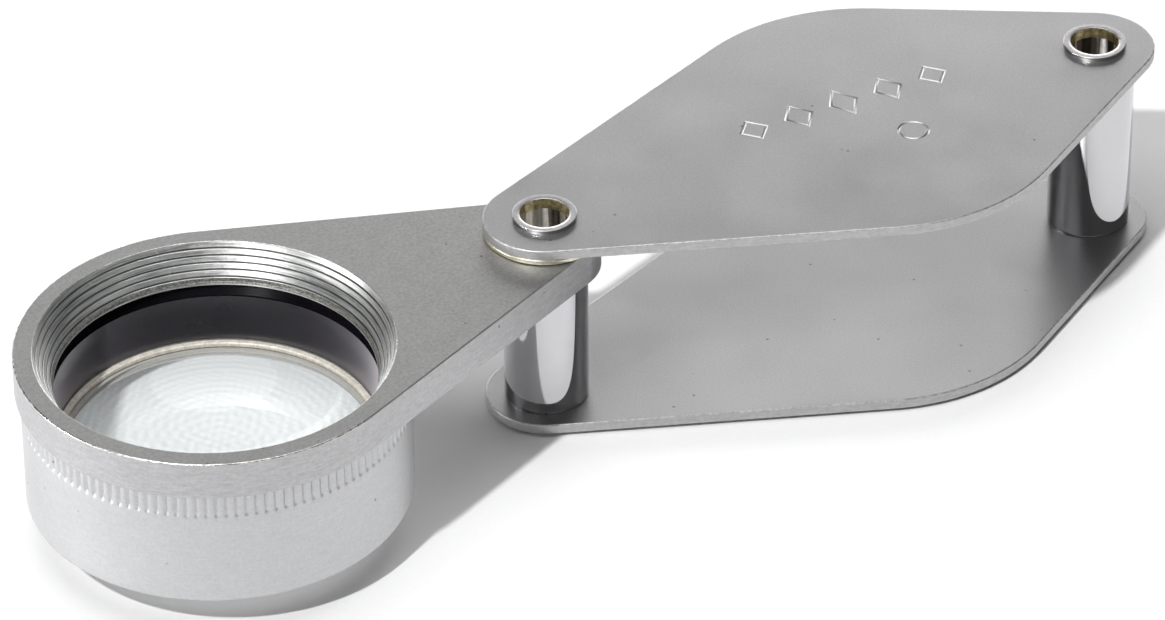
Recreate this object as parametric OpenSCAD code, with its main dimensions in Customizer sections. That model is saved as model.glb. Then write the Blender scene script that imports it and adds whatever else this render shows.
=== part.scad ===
// Folding pocket loupe: two cover plates on two tubular posts, and a lens arm that swings
// out from between them. The lens sits in a knurled barrel screwed up into the arm's ring.
// Origin: pivot axis at the underside of the bottom cover. +Z up, +X towards the end post.

/* [Optics] */
// Diameter of the glass
lens_d = 25; // [22:0.5:27]
// Magnifying power
power = 6; // [5:0.5:7]

/* [Case] */
// Distance from the pivot post to the end post
post_pitch = 50.3; // [50:0.1:60]
// Clear height between the covers
case_gap = 15.75; // [15.6:0.05:20]
// Cover sheet thickness
cover_t = 0.85; // [0.6:0.05:1.2]
// Radius of each cover's narrow ends
cover_end_r = 4.85; // [4.6:0.05:6]

/* [Lens arm] */
// Distance from the pivot to the lens axis
arm_reach = 29.2; // [28.5:0.1:31]
// Arm thickness
arm_t = 3.15; // [2.8:0.05:3.6]
// How far the arm stands open, from folded
open_angle = 182.4; // [0:0.2:360]

/* [Posts] */
// Radius of the open bore through both rivets
bore_r = 1.92; // [1.6:0.02:2]
// Outside radius of the bright sleeves
sleeve_r = 3.36; // [3:0.02:3.8]

/* [Barrel] */
// Height of the screw-on barrel
barrel_h = 9.94; // [9.6:0.02:10.6]
// Number of knurl teeth
knurl_n = 124; // [60:2:160]
// Height of the knurled band
knurl_h = 2.1; // [1.5:0.1:3]

/* [Hidden] */
$fn = 96;
refractive_index = 1.517;
near_point = 250;
run = 0.05;                                    // clearance between pieces that rub
glass_r = lens_d / 2;
well_r = glass_r + 0.1;                        // inside of the baffle tube and lens seat
ring_r = glass_r + 2.9;                        // lens ring of the arm
barrel_r = ring_r - 0.4;
cover_mid_r = ring_r + 0.4;                    // covers overhang the folded ring
top_z = cover_t + case_gap;                    // underside of the top cover
washer_t = 0.45;
arm_top = top_z - washer_t - run;
arm_bot = arm_top - arm_t;
thin_washer_t = 0.3;
arm_end_r = 4.4;
rivet_r = bore_r + 0.38;
lip_w = 0.62;                                  // the flat-topped rivet lips
lip_h = 0.35;

funnel_top_r = glass_r + 1.35;
funnel_low_r = glass_r - 0.1;
funnel_n = 5;
funnel_depth = arm_t - 0.2;
funnel_groove = 0.16;

spigot_h = 3.6;                                // threaded neck under the ring
spigot_r = ring_r - 1.3;
tube_wall = 0.65;
neck_bore_r = well_r + tube_wall + run;

barrel_top = arm_bot - run;
barrel_bot = barrel_top - barrel_h;
shoulder_z = arm_top - 8.4;                    // ledge that carries the baffle tube
wire_r = 0.2;
glass_edge = 1.6;
surface_r = 2 * (refractive_index - 1) * near_point / power;
drop = reach_at(glass_r);                      // from each surface's centre to the glass edge
ring_in_r = well_r - 2 * wire_r - run;
mouth_r = glass_r - 0.6;                       // opening under the glass
glass_top = shoulder_z - 2 * wire_r - (reach_at(ring_in_r) - drop) - 0.06;
glass_bot = glass_top - glass_edge;
seat_z = glass_bot - (reach_at(mouth_r) - drop) - run;

function reach_at(r) = sqrt(surface_r * surface_r - r * r);

// Slab with the outline of a belt round two discs: r1 at the origin, r2 at distance d along X.
module belt(r1, r2, d, h) {
    a = acos((r1 - r2) / d);
    cylinder(r = r1, h = h);
    translate([d, 0, 0]) cylinder(r = r2, h = h);
    linear_extrude(height = h)
        polygon([[0, 0], [r1 * cos(a), -r1 * sin(a)], [d + r2 * cos(a), -r2 * sin(a)], [d, 0],
                 [d + r2 * cos(a), r2 * sin(a)], [r1 * cos(a), r1 * sin(a)]]);
}

module cover_blank() {
    difference() {
        union() {
            belt(cover_end_r, cover_mid_r, arm_reach, cover_t);
            translate([arm_reach, 0, 0])
                belt(cover_mid_r, cover_end_r, post_pitch - arm_reach, cover_t);
        }
        for (x = [0, post_pitch])
            translate([x, 0, -1]) cylinder(r = rivet_r + 0.02, h = cover_t + 2);
    }
}

// One engraved lozenge outline, cut down from z = 0.
module lozenge_cut(w, l, line, depth) {
    translate([0, 0, -depth])
        linear_extrude(height = depth + 0.1)
            difference() {
                polygon([[-w, 0], [0, -l], [w, 0], [0, l]]);
                polygon([[-w + line * 1.6, 0], [0, -l + line * 1.6],
                         [w - line * 1.6, 0], [0, l - line * 1.6]]);
            }
}

module bottom_cover() {
    color([0.68, 0.68, 0.67]) cover_blank();
}

module top_cover() {
    color([0.68, 0.68, 0.67])
        difference() {
            translate([0, 0, top_z]) cover_blank();
            for (i = [0:4])
                translate([arm_reach - 9 + 4.1 * i, 2.6, top_z + cover_t])
                    lozenge_cut(1.35, 2.0 - 0.25 * abs(i - 2), 0.22, 0.08);
            translate([arm_reach + 2, -3.6, top_z + cover_t - 0.08])
                difference() {
                    cylinder(r = 1.3, h = 1);
                    translate([0, 0, -1]) cylinder(r = 1.08, h = 3);
                }
        }
}

// Tubular rivet, spread outside each cover into a flat-topped lip with a bevelled mouth.
module rivet() {
    outer = bore_r + lip_w;
    edge = 0.06;
    bevel = 0.1;
    high = top_z + cover_t + lip_h;
    rotate_extrude()
        polygon([[bore_r, bevel - lip_h], [bore_r + bevel, -lip_h], [outer - edge, -lip_h],
                 [outer, edge - lip_h], [outer, 0], [rivet_r, 0], [rivet_r, high - lip_h],
                 [outer, high - lip_h], [outer, high - edge], [outer - edge, high],
                 [bore_r + bevel, high], [bore_r, high - bevel]]);
}

module pivot_rivet() {
    color([0.82, 0.81, 0.78]) rivet();
}

module end_rivet() {
    color([0.82, 0.81, 0.78]) translate([post_pitch, 0, 0]) rivet();
}

// Spacer sleeve standing on the bottom cover, its outer corners broken.
module sleeve(h) {
    edge = 0.15;
    bore = rivet_r + run;
    translate([0, 0, cover_t])
        rotate_extrude()
            polygon([[bore, 0], [sleeve_r - edge, 0], [sleeve_r, edge], [sleeve_r, h - edge],
                     [sleeve_r - edge, h], [bore, h]]);
}

module pivot_sleeve() {
    color([0.86, 0.87, 0.9]) sleeve(arm_bot - run - thin_washer_t - cover_t);
}

module end_sleeve() {
    color([0.86, 0.87, 0.9]) translate([post_pitch, 0, 0]) sleeve(case_gap);
}

module washer(r, z, t) {
    translate([0, 0, z])
        difference() {
            cylinder(r = r, h = t);
            translate([0, 0, -1]) cylinder(r = rivet_r + run, h = t + 2);
        }
}

module friction_washer() {
    color([0.86, 0.83, 0.7]) washer(cover_end_r, top_z - washer_t, washer_t);
}

module thin_washer() {
    color([0.86, 0.83, 0.7]) washer(sleeve_r - 0.1, arm_bot - run - thin_washer_t, thin_washer_t);
}

// Places lens parts on the lens axis of the opened arm.
module on_lens_axis() {
    rotate([0, 0, open_angle]) translate([arm_reach, 0, 0]) children();
}

// Conical mouth above the lens, turned with a small relief groove in each step.
module funnel_cut() {
    dr = (funnel_top_r - funnel_low_r) / funnel_n;
    dz = funnel_depth / funnel_n;
    steps = [for (i = [0:funnel_n - 1])
        let (r = funnel_top_r - dr * i, z = arm_top - dz * i)
        each [[r, z], [r - dr * 0.8, z - dz * 0.58], [r - dr * 0.8 + funnel_groove, z - dz * 0.8]]];
    rotate_extrude()
        polygon(concat([[0, arm_top + 1], [funnel_top_r, arm_top + 1]], steps,
                       [[funnel_low_r, arm_top - funnel_depth], [funnel_low_r, arm_bot],
                        [neck_bore_r, arm_bot], [neck_bore_r, arm_bot - spigot_h - 1],
                        [0, arm_bot - spigot_h - 1]]));
}

module lens_arm() {
    color([0.66, 0.65, 0.64])
        difference() {
            union() {
                rotate([0, 0, open_angle])
                    translate([0, 0, arm_bot]) belt(arm_end_r, ring_r, arm_reach, arm_t);
                on_lens_axis()
                    translate([0, 0, arm_bot - spigot_h]) cylinder(r = spigot_r, h = spigot_h + 1);
            }
            translate([0, 0, arm_bot - 1]) cylinder(r = rivet_r + run, h = arm_t + 2);
            on_lens_axis() funnel_cut();
        }
}

module baffle_tube() {
    low = shoulder_z + run;
    high = arm_bot - run;
    color([0.12, 0.12, 0.13])
        on_lens_axis()
            translate([0, 0, low])
                difference() {
                    cylinder(r = well_r + tube_wall, h = high - low);
                    translate([0, 0, -1]) cylinder(r = well_r, h = high - low + 2);
                }
}

// Straight-toothed band round the top of the barrel.
module knurl() {
    pitch = 360 / knurl_n;
    high = barrel_r - 0.05;
    low = high - 0.2;
    linear_extrude(height = knurl_h)
        polygon([for (i = [0:knurl_n - 1])
            each [for (p = [[0, low], [0.22, high], [0.72, high], [0.94, low]])
                [p[1] * cos((i + p[0]) * pitch), p[1] * sin((i + p[0]) * pitch)]]]);
}

module lens_barrel() {
    edge = 0.3;
    flare = 1.25;
    color([0.84, 0.84, 0.86])
        on_lens_axis()
            difference() {
                union() {
                    rotate_extrude()
                        polygon([[0, barrel_bot], [barrel_r - edge, barrel_bot],
                                 [barrel_r, barrel_bot + edge], [barrel_r, barrel_top - knurl_h],
                                 [0, barrel_top - knurl_h]]);
                    translate([0, 0, barrel_top - knurl_h]) knurl();
                }
                rotate_extrude()
                    polygon([[0, barrel_bot - 1], [mouth_r + flare + 1, barrel_bot - 1],
                             [mouth_r + flare, barrel_bot], [mouth_r, barrel_bot + flare],
                             [mouth_r, seat_z], [well_r, seat_z], [well_r, shoulder_z],
                             [neck_bore_r, shoulder_z], [neck_bore_r, arm_bot - spigot_h - 0.2],
                             [spigot_r + run, arm_bot - spigot_h - 0.2],
                             [spigot_r + run, barrel_top + 1], [0, barrel_top + 1]]);
            }
}

// Split spring ring that keeps the glass down on its seat.
module lens_ring() {
    color([0.9, 0.89, 0.82])
        on_lens_axis()
            translate([0, 0, shoulder_z - wire_r - 0.02])
                rotate([0, 0, 94])
                    rotate_extrude(angle = 353)
                        translate([ring_in_r + wire_r, 0]) circle(r = wire_r, $fn = 24);
}

// Equi-convex glass with a cylindrical edge.
module lens() {
    color([0.86, 0.93, 0.95, 0.45])
        on_lens_axis()
            intersection() {
                translate([0, 0, glass_bot - 5]) cylinder(r = glass_r, h = glass_edge + 10);
                translate([0, 0, glass_top - drop]) sphere(r = surface_r);
                translate([0, 0, glass_bot + drop]) sphere(r = surface_r);
            }
}

bottom_cover();
top_cover();
pivot_rivet();
pivot_sleeve();
end_rivet();
end_sleeve();
friction_washer();
thin_washer();
lens_arm();
baffle_tube();
lens_barrel();
lens_ring();
lens();
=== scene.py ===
import math

import bmesh
import bpy
from mathutils import Matrix, Quaternion, Vector
from mathutils.geometry import delaunay_2d_cdt

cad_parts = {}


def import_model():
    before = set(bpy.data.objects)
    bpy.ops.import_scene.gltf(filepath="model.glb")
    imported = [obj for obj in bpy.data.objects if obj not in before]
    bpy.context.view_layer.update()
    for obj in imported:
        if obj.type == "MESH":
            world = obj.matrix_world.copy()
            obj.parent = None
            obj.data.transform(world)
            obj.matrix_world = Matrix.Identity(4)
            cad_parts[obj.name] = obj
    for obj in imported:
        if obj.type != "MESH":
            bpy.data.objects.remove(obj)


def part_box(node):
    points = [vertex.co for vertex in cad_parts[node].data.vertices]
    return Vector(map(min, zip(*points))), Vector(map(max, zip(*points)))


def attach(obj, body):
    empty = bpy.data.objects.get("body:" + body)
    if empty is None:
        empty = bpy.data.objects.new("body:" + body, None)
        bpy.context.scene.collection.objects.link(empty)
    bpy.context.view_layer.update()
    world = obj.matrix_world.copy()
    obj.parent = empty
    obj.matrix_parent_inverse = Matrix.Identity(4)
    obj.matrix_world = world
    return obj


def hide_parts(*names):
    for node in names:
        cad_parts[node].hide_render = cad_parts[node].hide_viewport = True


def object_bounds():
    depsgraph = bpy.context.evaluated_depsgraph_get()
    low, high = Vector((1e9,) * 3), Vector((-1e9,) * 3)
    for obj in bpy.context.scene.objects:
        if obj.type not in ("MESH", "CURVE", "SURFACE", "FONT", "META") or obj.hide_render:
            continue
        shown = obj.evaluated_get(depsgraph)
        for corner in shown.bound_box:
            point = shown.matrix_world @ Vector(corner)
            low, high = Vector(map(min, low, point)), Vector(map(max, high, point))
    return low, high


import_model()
cad_lo, cad_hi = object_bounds()

MM = 0.001
TAU = 2 * math.pi

# ---------------------------------------------------------------- where things are, in millimetres


def span(node):
    lo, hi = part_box(node)
    return lo / MM, hi / MM


def middle(node):
    lo, hi = span(node)
    return (lo.x + hi.x) / 2, (lo.y + hi.y) / 2


bot_lo, bot_hi = span("bottom_cover")
top_lo, top_hi = span("top_cover")
riv_lo, riv_hi = span("pivot_rivet")
arm_lo, arm_hi = span("lens_arm")
bar_lo, bar_hi = span("lens_barrel")
tube_lo, tube_hi = span("baffle_tube")
ring_lo, ring_hi = span("lens_ring")
glass_lo, glass_hi = span("lens")

PIVOT = (0.0, 0.0)
END = (middle("end_rivet")[0], 0.0)
AXIS = middle("lens")
REACH = math.hypot(*AXIS)
SWING = math.atan2(AXIS[1], AXIS[0])

# Clearance between parts that turn or slide on each other, and round a rivet in its cover
RUN = 0.05
HOLE_FIT = 0.02

COVER_END_R = -bot_lo.x
COVER_MID_R = bot_hi.y
RING_R = (arm_hi.y - arm_lo.y) / 2
ARM_END_R = 4.4
ARM_BOT = bar_hi.z + RUN
BARREL_R = (bar_hi.x - bar_lo.x) / 2
GLASS_R = (glass_hi.x - glass_lo.x) / 2
WELL_R = GLASS_R + 0.1
BORE_R = 1.92
RIVET_R = 2.3
LIP_R = (riv_hi.x - riv_lo.x) / 2

# How far a sheet's lower and upper edges are rounded, and in how many bands
SOFT_LOW = 0.12
SOFT_HIGH = 0.11
SOFT_BANDS = 5

# ---------------------------------------------------------------- mesh helpers

# Points closer than this are welded, and outline points closer than the snap are one, in millimetres
WELD = 0.0004
SNAP = 1e-7
# A face whose normal is at least this upright is level
LEVEL = 1 - 2e-6
# How strongly large faces lead the shading of their corners
FACE_WEIGHT = 80


def build(name, verts, faces, mats, slots, sharp=32.0):
    """A smooth-shaded mesh object from millimetre vertices; slots gives each face's material index.
    Parts are welded where they meet, and level faces are kept dead flat."""
    mesh = bpy.data.meshes.new(name)
    mesh.from_pydata([Vector(v) * MM for v in verts], [], faces)
    for m in mats:
        mesh.materials.append(m)
    mesh.polygons.foreach_set("material_index", slots)
    work = bmesh.new()
    work.from_mesh(mesh)
    bmesh.ops.remove_doubles(work, verts=work.verts, dist=WELD * MM)
    work.normal_update()
    for f in work.faces:
        f.smooth = abs(f.normal.z) < LEVEL
    for e in work.edges:
        if len(e.link_faces) == 2:
            a, b = e.link_faces
            e.smooth = a.smooth == b.smooth and e.calc_face_angle(0) < math.radians(sharp)
    work.to_mesh(mesh)
    work.free()
    mesh.update()
    obj = bpy.data.objects.new(name, mesh)
    bpy.context.scene.collection.objects.link(obj)
    weigh = obj.modifiers.new("normals", "WEIGHTED_NORMAL")
    weigh.keep_sharp = True
    weigh.weight = FACE_WEIGHT
    return obj


def arc(cx, cz, r, a0, a1, n):
    """Points on a circle in the profile plane, angles in degrees."""
    out = []
    for i in range(n + 1):
        a = math.radians(a0 + (a1 - a0) * i / n)
        out.append((cx + r * math.cos(a), cz + r * math.sin(a)))
    return out


def lathe(profile, centre, segs, closed=True, slots=None, radius=None, start=0.0, sweep=TAU):
    """Verts, faces and slots of a profile of (r, z) turned about a vertical axis at centre. Radius
    may change each point's own; a part sweep is closed by flat ends."""
    full = sweep > TAU - 1e-6
    cols = segs if full else segs + 1
    verts = []
    for j in range(cols):
        a = start + sweep * j / segs
        c, s = math.cos(a), math.sin(a)
        for i, (r, z) in enumerate(profile):
            q = radius(i, r, z, a) if radius else r
            verts.append((centre[0] + q * c, centre[1] + q * s, z))
    n = len(profile)
    rows = n if closed else n - 1
    faces = []
    kinds = []
    for j in range(segs):
        k = (j + 1) % cols
        for i in range(rows):
            h = (i + 1) % n
            faces.append((j * n + i, k * n + i, k * n + h, j * n + h))
            kinds.append(slots[i] if slots else 0)
    if not full:
        faces.append(tuple(range(n)))
        faces.append(tuple(reversed(range((cols - 1) * n, cols * n))))
        kinds += [0, 0]
    return verts, faces, kinds


def joined(*parts):
    """Several (verts, faces, slots) sets as one."""
    verts, faces, kinds = [], [], []
    for v, f, k in parts:
        base = len(verts)
        verts += v
        faces += [tuple(i + base for i in face) for face in f]
        kinds += k
    return verts, faces, kinds


def circle(centre, r, n):
    """Outline of n points round a circle."""
    return [(centre[0] + r * math.cos(TAU * i / n), centre[1] + r * math.sin(TAU * i / n))
            for i in range(n)]


def belt(discs, off, step=3.0):
    """Outline round a row of discs (x, r) along X, each radius less off. Counter-clockwise."""
    tilt = [math.acos((a[1] - b[1]) / (b[0] - a[0])) for a, b in zip(discs, discs[1:])]
    turns = []
    last = len(discs) - 1
    turns.append((last, -tilt[-1], tilt[-1]))
    for i in range(last - 1, 0, -1):
        turns.append((i, tilt[i], tilt[i - 1]))
    turns.append((0, tilt[0], TAU - tilt[0]))
    for i in range(1, last):
        turns.append((i, -tilt[i - 1], -tilt[i]))
    out = []
    for i, a0, a1 in turns:
        x, r = discs[i]
        n = max(2, math.ceil(abs(a1 - a0) / math.radians(step)))
        for k in range(n + 1):
            a = a0 + (a1 - a0) * k / n
            out.append((x + (r - off) * math.cos(a), (r - off) * math.sin(a)))
    return out


def edge_steps(z0, z1):
    """(inset, z) pairs up a slab's side, its lower and upper edges rounded."""
    turns = [math.pi / 2 * i / SOFT_BANDS for i in range(SOFT_BANDS + 1)]
    low = [(SOFT_LOW * (1 - math.sin(a)), z0 + SOFT_LOW * (1 - math.cos(a))) for a in turns]
    high = [(SOFT_HIGH * (1 - math.cos(a)), z1 - SOFT_HIGH * (1 - math.sin(a))) for a in turns]
    return low + high


def fill(outer, holes, up, z, lines=(), line_z=()):
    """Triangulates the area inside outer and outside the holes, at height z, facing up or down.
    Lines are further outlines in it, each at its own height in line_z."""
    loops = [outer, *holes, *lines]
    heights = [z] * (1 + len(holes)) + list(line_z)
    pts, edges, owner = [], [], []
    for n, loop in enumerate(loops):
        base = len(pts)
        pts += [Vector(p) for p in loop]
        owner += [n] * len(loop)
        edges += [(base + i, base + (i + 1) % len(loop)) for i in range(len(loop))]
    flat_pts, _, tris, sources, _, _ = delaunay_2d_cdt(pts, edges, [], 0, SNAP)
    verts = []
    for p, source in zip(flat_pts, sources):
        n = owner[source[0]] if source else 0
        verts.append((p.x, p.y, heights[n]))
    faces = []
    for tri in tris:
        c = sum((flat_pts[i] for i in tri), Vector((0, 0))) / len(tri)
        if not inside(c, outer) or any(inside(c, h) for h in holes):
            continue
        faces.append(tuple(tri) if up else tuple(reversed(tri)))
    return verts, faces, [0] * len(faces)


def inside(p, poly):
    """Whether a point lies inside an outline."""
    hit = False
    for (x0, y0), (x1, y1) in zip(poly, poly[1:] + poly[:1]):
        if (y0 > p.y) != (y1 > p.y) and p.x < (x1 - x0) * (p.y - y0) / (y1 - y0) + x0:
            hit = not hit
    return hit


def loft(loops, zs, slots):
    """Quads between equal-length outlines, one height each; slots per band."""
    n = len(loops[0])
    verts = [(x, y, z) for loop, z in zip(loops, zs) for x, y in loop]
    faces, kinds = [], []
    for b in range(len(loops) - 1):
        for i in range(n):
            k = (i + 1) % n
            faces.append((b * n + i, b * n + k, (b + 1) * n + k, (b + 1) * n + i))
            kinds.append(slots[b])
    return verts, faces, kinds


# ---------------------------------------------------------------- materials
# Noise scales are in cells to the metre, so 1000 is one to the millimetre. Noise lies mostly
# between 0.3 and 0.7, which is why the ramps start and end about there.


# The Mix node's colour sockets, which share their names with its other kinds
MIX_A, MIX_B, MIX_OUT = 6, 7, 2


def darker(colour, by):
    return tuple(c * by for c in colour)


class Mat:
    """A node material with a few shorthands."""

    def __init__(self, name):
        self.mat = bpy.data.materials.new(name)
        self.mat.use_nodes = True
        self.tree = self.mat.node_tree
        self.tree.nodes.clear()
        self.out = self.add("ShaderNodeOutputMaterial")
        self.bsdf = self.add("ShaderNodeBsdfPrincipled")
        self.link(self.bsdf, "BSDF", self.out, "Surface")
        self.coord = self.add("ShaderNodeTexCoord")

    def add(self, kind, **settings):
        node = self.tree.nodes.new(kind)
        for key, value in settings.items():
            setattr(node, key, value)
        return node

    def link(self, a, out, b, into):
        self.tree.links.new(a.outputs[out], b.inputs[into])

    def set(self, **values):
        """Sets the shader's own sockets, with _ for the spaces in their names."""
        for key, value in values.items():
            self.bsdf.inputs[key.replace("_", " ")].default_value = value

    def stretched(self, scale):
        """Object space with its axes scaled, so that noise comes out squeezed along them."""
        m = self.add("ShaderNodeMapping")
        m.inputs["Scale"].default_value = scale
        self.link(self.coord, "Object", m, "Vector")
        return m

    def noise(self, scale, detail=3.0, rough=0.55, vector=None):
        n = self.add("ShaderNodeTexNoise")
        n.inputs["Scale"].default_value = scale
        n.inputs["Detail"].default_value = detail
        n.inputs["Roughness"].default_value = rough
        if vector:
            self.link(vector, "Vector", n, "Vector")
        else:
            self.link(self.coord, "Object", n, "Vector")
        return n

    def spots(self, scale, size, soft=0.02):
        """1 in sparse small round spots."""
        v = self.add("ShaderNodeTexVoronoi")
        v.inputs["Scale"].default_value = scale
        v.inputs["Randomness"].default_value = 1.0
        self.link(self.coord, "Object", v, "Vector")
        return self.ramp(v, "Distance", size, size + soft, 1.0, 0.0)

    def ramp(self, node, out, lo, hi, a=0.0, b=1.0):
        """Runs from a to b as the node's output goes from lo to hi."""
        r = self.add("ShaderNodeMapRange")
        r.inputs["From Min"].default_value = lo
        r.inputs["From Max"].default_value = hi
        r.inputs["To Min"].default_value = a
        r.inputs["To Max"].default_value = b
        self.link(node, out, r, "Value")
        return r

    def mix(self, fac, a, b):
        """From a to b by a factor node; each is a colour or another mix."""
        m = self.add("ShaderNodeMix", data_type="RGBA")
        self.link(fac, 0, m, 0)
        for k, v in ((MIX_A, a), (MIX_B, b)):
            if isinstance(v, tuple):
                m.inputs[k].default_value = (*v, 1)
            else:
                self.link(v, MIX_OUT, m, k)
        return m

    def blend(self, amount, a, b):
        """A fixed amount of mix b over mix a."""
        m = self.add("ShaderNodeMix", data_type="RGBA")
        m.inputs[0].default_value = amount
        self.link(a, MIX_OUT, m, MIX_A)
        self.link(b, MIX_OUT, m, MIX_B)
        return m

    def math(self, how, a, b):
        """A sum or product of two nodes, or of a node and a number."""
        m = self.add("ShaderNodeMath", operation=how)
        for k, v in enumerate((a, b)):
            if isinstance(v, float):
                m.inputs[k].default_value = v
            else:
                self.link(v, 0, m, k)
        return m

    def turned_by(self, vector, angle):
        """A vector turned about Z."""
        m = self.add("ShaderNodeMapping")
        m.inputs["Rotation"].default_value = (0, 0, angle)
        self.link(vector, "Vector", m, "Vector")
        return m

    def wave(self, vector, kind, scale, axis):
        """Rings round an axis, or bands across it."""
        w = self.add("ShaderNodeTexWave", wave_type=kind)
        if kind == "RINGS":
            w.rings_direction = axis
        else:
            w.bands_direction = axis
        w.inputs["Scale"].default_value = scale
        self.link(vector, "Vector", w, "Vector")
        return w

    def base(self, mix):
        self.link(mix, MIX_OUT, self.bsdf, "Base Color")

    def rough(self, node):
        self.link(node, 0, self.bsdf, "Roughness")

    def drawn_across(self, amount):
        """Stretches the gloss up and down, as fine grooves running round an upright axis do."""
        up = self.add("ShaderNodeCombineXYZ")
        up.inputs["Z"].default_value = 1.0
        self.link(up, "Vector", self.bsdf, "Tangent")
        self.set(Anisotropic=amount)

    def bumps(self, *layers):
        """Each layer is (node, output, strength, distance in mm); they stack."""
        before = None
        for node, out, strength, dist in layers:
            b = self.add("ShaderNodeBump")
            b.inputs["Strength"].default_value = strength
            b.inputs["Distance"].default_value = dist * MM
            self.link(node, out, b, "Height")
            if before:
                self.link(before, "Normal", b, "Normal")
            before = b
        self.link(before, "Normal", self.bsdf, "Normal")


def satin(name, dark, light, rough, grain=7000, bump=0.25, spot=0.034, streak=0.0, mottle=0.5):
    """Blasted and plated metal: fine grain, slow cloudiness and a few dark specks. Mottle sets how
    much of the tone is cloud, not grain, and streak how much is wear drawn round the sides."""
    m = Mat(name)
    m.set(Metallic=1.0)
    fine = m.noise(grain, 3, 0.6)
    cloud = m.noise(110, 3, 0.55)
    brushed = m.noise(900, 3, 0.6, m.stretched((1, 1, 7)))
    slow = m.mix(m.ramp(cloud, "Fac", 0.3, 0.7), dark, light)
    quick = m.mix(m.ramp(fine, "Fac", 0.36, 0.64), darker(dark, 0.8), light)
    both = m.blend(mottle, quick, slow)
    if streak:
        worn = m.mix(m.ramp(brushed, "Fac", 0.35, 0.65), darker(dark, 0.85), light)
        both = m.blend(streak, both, worn)
    m.base(m.mix(m.spots(360, spot), both, darker(dark, 0.5)))
    m.rough(m.ramp(cloud, "Fac", 0.3, 0.7, rough - 0.03, rough + 0.04))
    m.bumps((brushed, "Fac", 0.05 + streak * 0.3, 0.02), (fine, "Fac", bump, 0.02))
    return m.mat


def bright_edge(name, colour, rough, torn=0.0, metal=1.0):
    """Where a satin edge is rubbed bright, on the covers' and the arm ring's edges also a painted
    highlight; torn sets how much burr the cutter left.
    """
    m = Mat(name)
    m.set(Metallic=metal)
    nick = m.noise(2300, 4, 0.7)
    long = m.noise(600, 3, 0.6)
    dull = darker(colour, 0.82 - 0.35 * torn)
    m.base(m.mix(m.ramp(nick, "Fac", 0.42, 0.6), dull, colour))
    m.rough(m.ramp(long, "Fac", 0.3, 0.7, rough - 0.06, rough + 0.12))
    m.bumps((long, "Fac", 0.2 + torn * 0.5, 0.05), (nick, "Fac", 0.12 + torn * 0.8, 0.05))
    return m.mat


def polished(name, colour, rough, haze=0.02):
    """Mirror plate with the faintest polishing haze."""
    m = Mat(name)
    m.set(Metallic=1.0)
    patchy = m.noise(700, 3, 0.6)
    lines = m.noise(900, 2, 0.5, m.stretched((1, 1, 14)))
    m.base(m.mix(m.ramp(patchy, "Fac", 0.3, 0.7), darker(colour, 0.97), colour))
    m.rough(m.ramp(patchy, "Fac", 0.35, 0.75, rough, rough + haze))
    m.bumps((lines, "Fac", 0.02, 0.01))
    return m.mat


def reflection_streaked_tube(name, dark, light, rough):
    """Inside of a rolled rivet: bright and dark streaks running down the bore, painted reflections."""
    m = Mat(name)
    m.set(Metallic=1.0)
    reflection_streaks = m.noise(1000, 1, 0.5, m.stretched((1, 1, 0.06)))
    fine = m.noise(3000, 3, 0.6)
    # Painted reflections: bright and dark streaks in the bore's colour.
    m.base(m.mix(m.ramp(reflection_streaks, "Fac", 0.47, 0.53), dark, light))
    m.rough(m.ramp(fine, "Fac", 0.3, 0.7, rough - 0.05, rough + 0.08))
    m.drawn_across(0.9)
    m.bumps((reflection_streaks, "Fac", 0.5, 0.08), (fine, "Fac", 0.15, 0.02))
    return m.mat


def turned(name, colour, rough, across=0.7):
    """Lathe-turned funnel wall: fine chatter round the axis and painted glints at random flecks."""
    m = Mat(name)
    m.set(Metallic=1.0)
    around = m.noise(260, 4, 0.6, m.stretched((1, 1, 34)))
    torn = m.noise(3400, 3, 0.7)
    fleck = m.noise(1500, 2, 0.5)
    painted_glint = tuple(min(1, c * 1.6) for c in colour)
    lined = m.mix(m.ramp(around, "Fac", 0.38, 0.56), darker(colour, 0.6), colour)
    # Painted glints: lighter colour at random flecks.
    m.base(m.mix(m.ramp(fleck, "Fac", 0.66, 0.74), lined, painted_glint))
    m.rough(m.ramp(torn, "Fac", 0.3, 0.7, rough - 0.1, rough + 0.12))
    m.drawn_across(across)
    m.bumps((around, "Fac", 0.5, 0.06), (torn, "Fac", 0.45, 0.03))
    return m.mat


def pitted(name, colour, rough):
    """The rough pitted band just above the lip, darker than the funnel wall and darker still in its
    pits: painted shade.
    """
    m = Mat(name)
    m.set(Metallic=1.0)
    pit = m.noise(5200, 4, 0.7)
    m.base(m.mix(m.ramp(pit, "Fac", 0.38, 0.62), darker(colour, 0.35), colour))
    m.rough(m.ramp(pit, "Fac", 0.3, 0.7, rough - 0.05, rough + 0.15))
    m.bumps((pit, "Fac", 0.8, 0.08))
    return m.mat


def black_lacquer(name, gloss=1.0):
    """Thin satin black with a little dust; gloss 0 is the dead black of the ribbed band on top."""
    m = Mat(name)
    m.set(Metallic=0.0, IOR=1.5, Specular_IOR_Level=0.1)
    m.set(Coat_Weight=gloss, Coat_IOR=1.5, Coat_Roughness=0.26)
    m.set(Sheen_Weight=0.8 * gloss, Sheen_Roughness=0.42, Sheen_Tint=(0.93, 0.88, 1.0, 1.0))
    lines = m.noise(300, 3, 0.6, m.stretched((1, 1, 16)))
    dust = m.noise(4200, 3, 0.65)
    cloud = m.noise(260, 3, 0.6)
    dusty = m.mix(m.ramp(dust, "Fac", 0.35, 0.75), (0.003, 0.0025, 0.004), (0.009, 0.008, 0.011))
    m.base(m.mix(m.ramp(cloud, "Fac", 0.35, 0.7), dusty, (0.006, 0.005, 0.008)))
    m.rough(m.ramp(cloud, "Fac", 0.3, 0.7, 0.16, 0.24))
    m.bumps((lines, "Fac", 0.04, 0.03), (dust, "Fac", 0.06, 0.01))
    return m.mat


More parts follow.
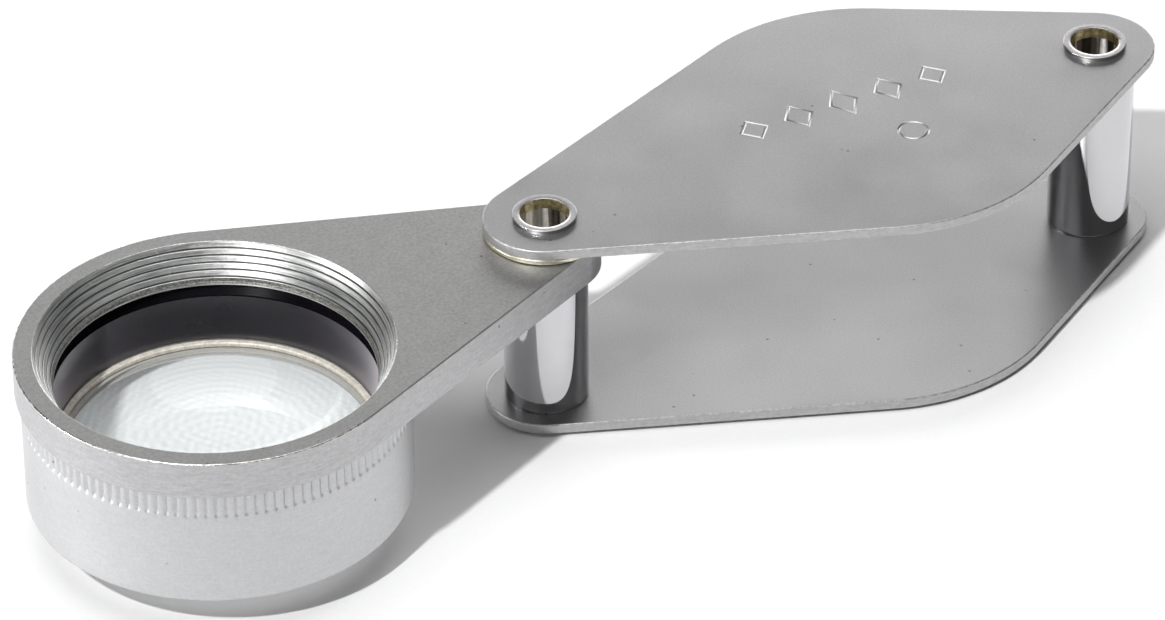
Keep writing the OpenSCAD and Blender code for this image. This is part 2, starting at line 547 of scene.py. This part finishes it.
def lens_glass(name):
    """Clear moulded glass, tinted grey-green: the tint is lighter and darker in faint rings round the
    axis and in a fine diamond lattice, and light meant for other surfaces passes straight through."""
    lattice_angle = 0.6
    m = Mat(name)
    m.set(Roughness=0.0, IOR=1.517, Transmission_Weight=1.0)
    place = m.add("ShaderNodeMapping")
    place.inputs["Location"].default_value = (-AXIS[0] * MM, -AXIS[1] * MM, 0)
    m.link(m.coord, "Object", place, "Vector")
    rings = m.wave(place, "RINGS", 390, "Z")
    lattice_a = m.wave(m.turned_by(place, lattice_angle), "BANDS", 520, "X")
    lattice_b = m.wave(m.turned_by(place, -lattice_angle), "BANDS", 520, "X")
    cross = m.math("MULTIPLY", lattice_a, lattice_b)
    pattern = m.math("ADD", m.math("MULTIPLY", rings, 0.55), m.math("MULTIPLY", cross, 0.45))
    m.base(m.mix(m.ramp(pattern, 0, 0.1, 0.8), (0.75, 0.79, 0.79), (0.88, 0.9, 0.9)))
    clear = m.add("ShaderNodeBsdfTransparent")
    path = m.add("ShaderNodeLightPath")
    straight = m.add("ShaderNodeMath", operation="MAXIMUM")
    m.link(path, "Is Shadow Ray", straight, 0)
    m.link(path, "Is Diffuse Ray", straight, 1)
    blend = m.add("ShaderNodeMixShader")
    m.link(straight, "Value", blend, "Fac")
    m.link(m.bsdf, "BSDF", blend, 1)
    m.link(clear, "BSDF", blend, 2)
    m.link(blend, "Shader", m.out, "Surface")
    return m.mat


def ground_glass(name):
    """The lens's grey ground edge."""
    m = Mat(name)
    m.set(Roughness=0.6, IOR=1.5)
    frost = m.noise(5000, 3, 0.6)
    m.base(m.mix(m.ramp(frost, "Fac", 0.3, 0.7), (0.4, 0.39, 0.38), (0.52, 0.51, 0.49)))
    m.bumps((frost, "Fac", 0.3, 0.02))
    return m.mat


COVER = satin("cover_satin", (0.51, 0.508, 0.51), (0.56, 0.558, 0.56), 0.36)
# Covers' rounded edges: rubbed bright, and partly a painted highlight.
COVER_EDGE = bright_edge("cover_edge", (0.66, 0.655, 0.65), 0.46, 0.3)
COVER_SIDE = satin("cover_side", (0.47, 0.468, 0.47), (0.57, 0.568, 0.565), 0.5, 2600, 0.4, streak=0.4)
ARM = satin("arm_satin", (0.385, 0.381, 0.377), (0.435, 0.431, 0.427), 0.48, 3600, 0.4, streak=0.2,
            mottle=0.3)
ARM_SIDE = satin("arm_side", (0.5, 0.498, 0.508), (0.59, 0.588, 0.598), 0.48, 3600, 0.5,
                 streak=0.5, mottle=0.4)
# Ring's upper edge: a burr, near-white in its nicks as a painted highlight and glints.
ARM_BURR_AND_HIGHLIGHT = bright_edge("arm_burr_and_highlight", (0.97, 0.96, 0.93), 0.26, 1.0)
BARREL = satin("barrel_satin", (0.575, 0.577, 0.588), (0.65, 0.652, 0.66), 0.48, 4200, 0.2, 0.04,
               streak=0.2, mottle=0.7)
FUNNEL = turned("funnel_turned", (0.97, 0.98, 0.97), 0.45)
# Funnel groove faces: their dark colour is painted shade in the grooves.
GROOVE_SHADE = turned("funnel_groove", (0.22, 0.215, 0.205), 0.5, 0.3)
# Band above the lip: its darker colour is painted shade.
LIP = pitted("funnel_lip", (0.6, 0.59, 0.56), 0.42)
CHROME = polished("sleeve_chrome", (0.6, 0.597, 0.615), 0.025)
NICKEL = polished("rivet_nickel", (0.62, 0.61, 0.6), 0.1, 0.06)
RIVET_TOP = satin("rivet_top", (0.6, 0.59, 0.6), (0.69, 0.675, 0.685), 0.36, 5200, 0.3)
RIVET_FLARE = bright_edge("rivet_flare", (0.95, 0.84, 0.52), 0.36, 0.8)
# Rivet bore: its bright and dark streaks are painted reflections.
RIVET_BORE = reflection_streaked_tube("rivet_bore_painted_reflections", (0.11, 0.095, 0.08), (1.0, 0.98, 0.94), 0.42)
BRASS = bright_edge("washer_brass", (0.8, 0.77, 0.62), 0.34)
BLACK = black_lacquer("baffle_black")
RIBBED = black_lacquer("baffle_ribbed", 0.0)
WIRE = bright_edge("ring_bright", (0.96, 0.92, 0.81), 0.5, 0.1, 0.3)
GLASS = lens_glass("lens_glass")
GROUND = ground_glass("lens_ground_edge")

# ---------------------------------------------------------------- covers

COVER_DISCS = [(0.0, COVER_END_R), (REACH, COVER_MID_R), (END[0], COVER_END_R)]
LINE_W = 0.24
LINE_WALL = 0.1
LINE_DEPTH = 0.06
# Insets across a line, and whether the outline there is on its floor: rim, floor, floor, rim
LINE_STEPS = [(0.0, False), (LINE_WALL, True), (LINE_W - LINE_WALL, True), (LINE_W, False)]


def lozenge(cx, cy, w, h):
    """Nested outlines of one engraved lozenge, w and h being half its diagonals."""
    corner = 1.6
    out = []
    for inset, low in LINE_STEPS:
        k = inset * corner
        out.append(([(cx - w + k, cy), (cx, cy - h + k), (cx + w - k, cy), (cx, cy + h - k)], low))
    return out


def roundel(cx, cy, r):
    """Nested outlines of one engraved circle."""
    return [(circle((cx, cy), r - inset, 48), low) for inset, low in LINE_STEPS]


def ornament():
    """Five lozenges in a row across the cover, the middle one tallest, and a roundel below them."""
    count = 5
    pitch = 4.1
    first_x = REACH - 9
    outlines = []
    for i in range(count):
        half_h = 2.0 - 0.25 * abs(i - count // 2)
        outlines += lozenge(first_x + pitch * i, 2.6, 1.35, half_h)
    return outlines + roundel(REACH + 2, -3.6, 1.3)


def cover(name, z0, z1, engraving=()):
    """Cover plate with softened edges, two rivet holes and engraved (outline, on the floor) pairs."""
    edge, flank = 1, 2
    hole_r = RIVET_R + HOLE_FIT
    posts = [PIVOT, END]
    steps = edge_steps(z0, z1)
    loops = [belt(COVER_DISCS, inset) for inset, _ in steps]
    slots = [edge] * SOFT_BANDS + [flank] + [edge] * SOFT_BANDS
    side = loft(loops, [z for _, z in steps], slots)
    holes = [circle(post, hole_r, 64) for post in posts]
    lines = [outline for outline, _ in engraving]
    line_z = [z1 - LINE_DEPTH if low else z1 for _, low in engraving]
    upper = fill(loops[-1], holes, True, z1, lines, line_z)
    lower = fill(loops[0], holes, False, z0)
    bores = [lathe([(hole_r, z1), (hole_r, z0)], post, 64, closed=False) for post in posts]
    verts, faces, kinds = joined(side, upper, lower, *bores)
    return build(name, verts, faces, [COVER, COVER_EDGE, COVER_SIDE], kinds)


top_cover = cover("cover_upper", top_lo.z, top_hi.z, ornament())
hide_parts("top_cover")
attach(top_cover, "case")

bottom_cover = cover("cover_lower", bot_lo.z, bot_hi.z)
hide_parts("bottom_cover")
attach(bottom_cover, "case")

# ---------------------------------------------------------------- posts


def rivet(name, node, centre):
    """Tubular rivet. Each end is rolled out into a flat-topped lip with a bare flare inside it."""
    tube, top, flare, bore = range(4)
    up = top_hi.z
    down = bot_lo.z
    crown = riv_hi.z
    edge = 0.06
    foot = 0.02
    lip = [(RIVET_R, up), (LIP_R - foot, up), (LIP_R, up + foot)]
    outer_rows = len(lip) + 1
    lip += arc(LIP_R - edge, crown - edge, edge, 0, 90, 4)
    lip += [(BORE_R + 0.3, crown), (BORE_R + 0.07, crown - 0.004), (BORE_R + 0.045, crown - 0.02)]
    face_end = len(lip)
    lip += [(BORE_R + 0.03, crown - 0.22), (BORE_R - 0.02, crown - 0.5)]
    lip += [(BORE_R - 0.06, crown - 0.85)]
    mirrored = [(r, down - (z - up)) for r, z in lip]
    profile = mirrored[::-1] + [(RIVET_R, (up + down) / 2)] + lip
    n = len(lip)
    end = [tube] * outer_rows + [top] * (face_end - 1 - outer_rows) + [flare] * (n - face_end)
    slots = end[::-1] + [tube, tube] + end + [bore]
    upper_flare = n + 1 + face_end
    lower_flare = n - 1 - face_end

    def fluted(i, r, z, a):
        """The flares' faint hand-rolled waves."""
        if i <= lower_flare or i >= upper_flare:
            return r + 0.02 * math.sin(7 * a + 0.4) + 0.012 * math.sin(17 * a + centre[0])
        return r

    verts, faces, kinds = lathe(profile, centre, 120, slots=slots, radius=fluted)
    obj = build(name, verts, faces, [NICKEL, RIVET_TOP, RIVET_FLARE, RIVET_BORE], kinds, sharp=40)
    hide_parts(node)
    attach(obj, "case")


def collar(name, node, centre, edge, edge_bands, segs, mat):
    """A plain ring round a rivet, its outer edges rounded."""
    lo, hi = span(node)
    r = (hi.x - lo.x) / 2
    inner = RIVET_R + RUN
    profile = [(inner, lo.z)] + arc(r - edge, lo.z + edge, edge, -90, 0, edge_bands)
    profile += arc(r - edge, hi.z - edge, edge, 0, 90, edge_bands) + [(inner, hi.z)]
    verts, faces, kinds = lathe(profile, centre, segs)
    return build(name, verts, faces, [mat], kinds)


def sleeve(name, node, centre):
    obj = collar(name, node, centre, 0.16, 5, 160, CHROME)
    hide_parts(node)
    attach(obj, "case")


def washer(name, node):
    lo, hi = span(node)
    obj = collar(name, node, PIVOT, min(0.12, (hi.z - lo.z) * 0.4), 4, 128, BRASS)
    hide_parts(node)
    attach(obj, "case")


rivet("rivet_pivot", "pivot_rivet", PIVOT)
rivet("rivet_end", "end_rivet", END)
sleeve("sleeve_pivot", "pivot_sleeve", PIVOT)
sleeve("sleeve_end", "end_sleeve", END)
washer("washer_friction", "friction_washer")
washer("washer_thin", "thin_washer")

# ---------------------------------------------------------------- lens arm

FUNNEL_TOP_R = GLASS_R + 1.35
FUNNEL_LOW_R = GLASS_R - 0.1
LIP_WALL = 0.6
SPIGOT_R = RING_R - 1.3
NECK_R = WELL_R + 0.65 + RUN
THREAD_PITCH = 0.5
THREAD_DEPTH = 0.22
ROUND = 256

# The arm's materials, in their order in arm()
FACE, BURR_AND_HIGHLIGHT, CONE, BAND, GAP_SHADE, FLANK = range(6)

# One turned step of the funnel, from its outer edge in: how far across and how far down it each
# point lies, as shares of the step, and what lies between it and the next point
STEP = [(0.0, 0.0, CONE), (0.64, 0.68, GAP_SHADE), (0.36, 0.76, GAP_SHADE), (0.44, 0.88, GAP_SHADE), (0.86, 0.96, CONE)]


def funnel_profile():
    """From the flat rim down the finely stepped cone, the rough band, the lip and the neck."""
    steps = 5
    top = arm_hi.z
    start = top - 0.08
    low = ARM_BOT + LIP_WALL
    foot = FUNNEL_LOW_R + 0.14
    dr = (FUNNEL_TOP_R - foot) / steps
    dz = (start - low) / steps
    pts = [(FUNNEL_TOP_R + 0.06, top), (FUNNEL_TOP_R + 0.02, top - 0.02)]
    kinds = [BURR_AND_HIGHLIGHT, CONE]
    for i in range(steps):
        for across, down, kind in STEP:
            pts.append((FUNNEL_TOP_R - dr * (i + across), start - dz * (i + down)))
            kinds.append(kind)
    pts += [(foot, low), (foot - 0.02, low - 0.3), (FUNNEL_LOW_R + 0.02, ARM_BOT + 0.14)]
    pts += [(FUNNEL_LOW_R, ARM_BOT + 0.05), (FUNNEL_LOW_R + 0.04, ARM_BOT)]
    kinds += [BAND, BAND, CONE, CONE, CONE]
    pts += [(NECK_R, ARM_BOT), (NECK_R, arm_lo.z)]
    kinds += [FACE]
    return pts, kinds


def thread_profile():
    """Outside of the neck, from its foot up: one rounded ridge to each turn of the thread."""
    root = SPIGOT_R - THREAD_DEPTH
    pts = [(NECK_R, arm_lo.z), (SPIGOT_R - 0.2, arm_lo.z)]
    z = arm_lo.z
    while z < ARM_BOT - 0.6:
        pts += [(root, z + 0.08), (SPIGOT_R, z + 0.24), (SPIGOT_R, z + 0.3)]
        z += THREAD_PITCH
    return pts + [(root, z + 0.02), (SPIGOT_R, z + 0.12), (SPIGOT_R, ARM_BOT)]


def arm_side_kind(verts, face):
    """Material of a quad of the arm's side: burred, with a painted highlight, along the ring's upper
    edge, plain elsewhere.
    """
    x, y, z = (sum(verts[i][k] for i in face) / len(face) for k in range(3))
    if z < arm_hi.z - SOFT_HIGH:
        return FLANK
    reach = (x - AXIS[0]) * math.cos(SWING) + (y - AXIS[1]) * math.sin(SWING)
    return BURR_AND_HIGHLIGHT if reach > -0.3 * RING_R else FACE


def arm():
    """Flat arm and ring in one, with the funnel turned into it and the threaded neck under it."""
    top = arm_hi.z
    hole_r = RIVET_R + RUN
    discs = [(0.0, ARM_END_R), (REACH, RING_R)]
    turn = Matrix.Rotation(SWING, 2)
    steps = edge_steps(ARM_BOT, top)
    loops = [[tuple(turn @ Vector(p)) for p in belt(discs, inset, 2.0)] for inset, _ in steps]
    verts, faces, _ = loft(loops, [z for _, z in steps], [FACE] * len(steps))
    side = verts, faces, [arm_side_kind(verts, f) for f in faces]
    hole = circle(PIVOT, hole_r, 64)
    upper = fill(loops[-1], [hole, circle(AXIS, FUNNEL_TOP_R + 0.06, ROUND)], True, top)
    under = fill(loops[0], [hole, circle(AXIS, SPIGOT_R, ROUND)], False, ARM_BOT)
    bore = lathe([(hole_r, top), (hole_r, ARM_BOT)], PIVOT, 64, closed=False)
    wall, wall_kinds = funnel_profile()
    inner = lathe(wall, AXIS, ROUND, closed=False, slots=wall_kinds)
    outer = lathe(thread_profile(), AXIS, ROUND, closed=False)
    verts, faces, kinds = joined(side, upper, under, bore, inner, outer)
    obj = build("arm_and_ring", verts, faces, [ARM, ARM_BURR_AND_HIGHLIGHT, FUNNEL, LIP, GROOVE_SHADE, ARM_SIDE],
                kinds, sharp=24)
    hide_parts("lens_arm")
    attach(obj, "arm")


arm()

# ---------------------------------------------------------------- barrel, baffle, ring and glass

KNURL_H = 2.1
KNURL_N = 124
KNURL_DEPTH = 0.15
# How far up the knurl its teeth reach each share of their depth
KNURL_RISE = [(0.1, 0.25), (0.2, 0.65), (0.32, 0.92), (0.5, 1.0), (1.2, 1.0), (1.8, 1.0),
              (KNURL_H - 0.12, 1.0)]


def barrel():
    """Screw-on barrel: knurled at its top, with the well and the seat for the glass inside."""
    lo, hi = bar_lo.z, bar_hi.z
    edge = 0.3
    top_edge = 0.12
    r = BARREL_R
    shoulder = tube_lo.z - RUN
    mouth = GLASS_R - 0.6
    flare = 1.25
    neck_low = arm_lo.z - 0.2
    knurl_low = hi - KNURL_H
    profile = arc(r - edge, lo + edge, edge, -90, 0, 6)
    profile += [(r, lo + edge + 0.5), (r, knurl_low - 0.4), (r, knurl_low)]
    depth = {}
    for up, share in KNURL_RISE:
        depth[len(profile)] = share * KNURL_DEPTH
        profile.append((r, knurl_low + up))
    profile += [(r - top_edge, hi), (SPIGOT_R + 0.2, hi)]
    profile += [(SPIGOT_R + RUN, hi - 0.15), (SPIGOT_R + RUN, neck_low), (NECK_R, neck_low),
                (NECK_R, shoulder), (WELL_R, shoulder), (WELL_R, glass_lo.z + 1.7),
                (mouth, glass_lo.z + 1.6), (mouth, lo + flare), (mouth + flare, lo)]

    def knurled(i, q, z, a):
        """Narrow cuts between broad teeth."""
        wave = 0.5 - 0.5 * math.cos(a * KNURL_N)
        return q - max(0.0, 1 - wave * 1.75) * depth.get(i, 0.0)

    verts, faces, kinds = lathe(profile, AXIS, KNURL_N * 8, radius=knurled)
    obj = build("barrel_knurled", verts, faces, [BARREL], kinds, sharp=40)
    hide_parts("lens_barrel")
    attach(obj, "barrel")


def baffle():
    """Black tube: a finely ribbed band under the lip, then a smooth wall down to the glass."""
    smooth, ribbed = range(2)
    lo, hi = tube_lo.z, tube_hi.z
    out_r = (tube_hi.x - tube_lo.x) / 2
    ribs = 6
    pitch = 0.18
    band = 1.1
    profile = [(out_r, lo), (out_r, hi), (WELL_R, hi)]
    for i in reversed(range(ribs)):
        z = hi - band + pitch * i
        profile += [(WELL_R + 0.02, z + 0.11), (WELL_R + 0.1, z)]
    profile += [(WELL_R, hi - band - 0.04), (WELL_R, lo)]
    slots = [smooth] * 2 + [ribbed] * (2 * ribs + 1) + [smooth] * 2
    verts, faces, kinds = lathe(profile, AXIS, ROUND, slots=slots)
    obj = build("baffle_black", verts, faces, [BLACK, RIBBED], kinds)
    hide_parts("baffle_tube")
    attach(obj, "arm")


def spring_ring():
    """Flat split ring that holds the glass; the split is a few degrees wide."""
    lo, hi = ring_lo.z, ring_hi.z
    outer = WELL_R - RUN
    inner = outer - 0.52
    edge = 0.1
    profile = arc(inner + edge, hi - edge, edge, 90, 180, 4)
    profile += arc(inner + edge, lo + edge, edge, 180, 270, 4)
    profile += arc(outer - edge, lo + edge, edge, 270, 360, 4)
    profile += arc(outer - edge, hi - edge, edge, 0, 90, 4)
    start = math.radians(276.4)
    sweep = math.radians(353)
    verts, faces, kinds = lathe(profile, AXIS, 240, start=start, sweep=sweep)
    obj = build("ring_spring", verts, faces, [WIRE], kinds)
    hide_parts("lens_ring")
    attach(obj, "lens_cell")


def glass():
    """Equi-convex glass: two spherical faces, a ground bevel and a ground edge."""
    clear_face, ground = range(2)
    n = 28
    edge = 1.6
    bevel = 0.05
    sag = (glass_hi.z - glass_lo.z - edge) / 2
    radius = (GLASS_R ** 2 + sag ** 2) / (2 * sag)
    clear = GLASS_R - 0.9
    top, low = [], []
    for i in range(n + 1):
        r = clear * (1 - i / n)
        rise = math.sqrt(radius ** 2 - r ** 2) - radius
        top.append((max(r, 1e-4), glass_hi.z + rise))
        low.append((max(r, 1e-4), glass_lo.z - rise))
    mid = (glass_hi.z + glass_lo.z) / 2
    profile = low[::-1] + [(GLASS_R, mid - edge / 2 + bevel), (GLASS_R, mid + edge / 2 - bevel)] + top
    slots = [clear_face] * n + [ground] * 3 + [clear_face] * n
    verts, faces, kinds = lathe(profile, AXIS, 192, closed=False, slots=slots)
    obj = build("glass_lens", verts, faces, [GLASS, GROUND], kinds, sharp=12)
    obj.modifiers.clear()
    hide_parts("lens")
    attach(obj, "lens_cell")


barrel()
baffle()
spring_ring()
glass()

# ---------------------------------------------------------------- floor, light, camera

FLOOR_Z = cad_lo.z
FLOOR_HALF = 3.0
# The picture's viewing angle, in degrees and millimetres, fitted to the covers' and ring's outlines
CAMERA_AZIMUTH = 241.837
CAMERA_ELEVATION = 35.225
CAMERA_ROLL = -0.548
CAMERA_DISTANCE = 534.54
CAMERA_TARGET = (2.886, -0.722, 8.0)


def floor():
    """A plain sheet of white paper."""
    mesh = bpy.data.meshes.new("floor")
    r = FLOOR_HALF
    mesh.from_pydata([(-r, -r, FLOOR_Z), (r, -r, FLOOR_Z), (r, r, FLOOR_Z), (-r, r, FLOOR_Z)],
                     [], [(0, 1, 2, 3)])
    m = Mat("floor_paper")
    tex = m.noise(2500, 3, 0.6)
    m.base(m.mix(m.ramp(tex, "Fac", 0.3, 0.7), (0.93, 0.93, 0.93), (0.95, 0.95, 0.95)))
    m.set(Roughness=0.9, Specular_IOR_Level=0.1)
    mesh.materials.append(m.mat)
    obj = bpy.data.objects.new("floor", mesh)
    bpy.context.scene.collection.objects.link(obj)


def outward(azimuth, elevation):
    """Unit vector from the loupe, both angles in degrees; azimuth counts from +X towards +Y."""
    a = math.radians(azimuth)
    e = math.radians(elevation)
    return Vector((math.cos(a) * math.cos(e), math.sin(a) * math.cos(e), math.sin(e)))


def softbox(name, azimuth, elevation, size, watts, away=0.6):
    """A soft panel aimed at the case; azimuth counts leftwards round from the camera's own side."""
    data = bpy.data.lights.new(name, "AREA")
    data.shape = "ELLIPSE"
    data.size, data.size_y = size
    data.energy = watts
    out = outward(CAMERA_AZIMUTH - azimuth, elevation)
    obj = bpy.data.objects.new(name, data)
    obj.location = Vector((0.01, 0, 0.008)) + out * away
    obj.rotation_mode = "QUATERNION"
    obj.rotation_quaternion = (-out).to_track_quat("-Z", "Y")
    bpy.context.scene.collection.objects.link(obj)


def world():
    """A faint cool fill from all round."""
    w = bpy.data.worlds.new("studio")
    w.use_nodes = True
    bg = w.node_tree.nodes["Background"]
    bg.inputs["Color"].default_value = (0.95, 0.97, 1.0, 1)
    bg.inputs["Strength"].default_value = 0.05
    bpy.context.scene.world = w


def camera():
    """Looks down on the loupe from the side that the picture was taken from."""
    data = bpy.data.cameras.new("camera")
    data.sensor_width = 36.0
    data.lens = 210.1
    data.clip_start = 0.02
    data.clip_end = 20
    obj = bpy.data.objects.new("camera", data)
    back = outward(CAMERA_AZIMUTH, CAMERA_ELEVATION)
    roll = Quaternion((0, 0, 1), math.radians(CAMERA_ROLL))
    obj.rotation_mode = "QUATERNION"
    obj.rotation_quaternion = back.to_track_quat("Z", "Y") @ roll
    obj.location = (Vector(CAMERA_TARGET) + back * CAMERA_DISTANCE) * MM
    bpy.context.scene.collection.objects.link(obj)
    bpy.context.scene.camera = obj


floor()
world()
camera()
softbox("key", 34, 50.5, (0.16, 0.16), 118, 4.0)
softbox("overhead", 60, 88, (0.6, 0.6), 1.8)
softbox("side_low", 76, 3, (0.36, 0.04), 1.7)
softbox("back_low", 178, 15, (1.0, 0.26), 2.0)
bpy.context.scene.view_settings.view_transform = "Standard"
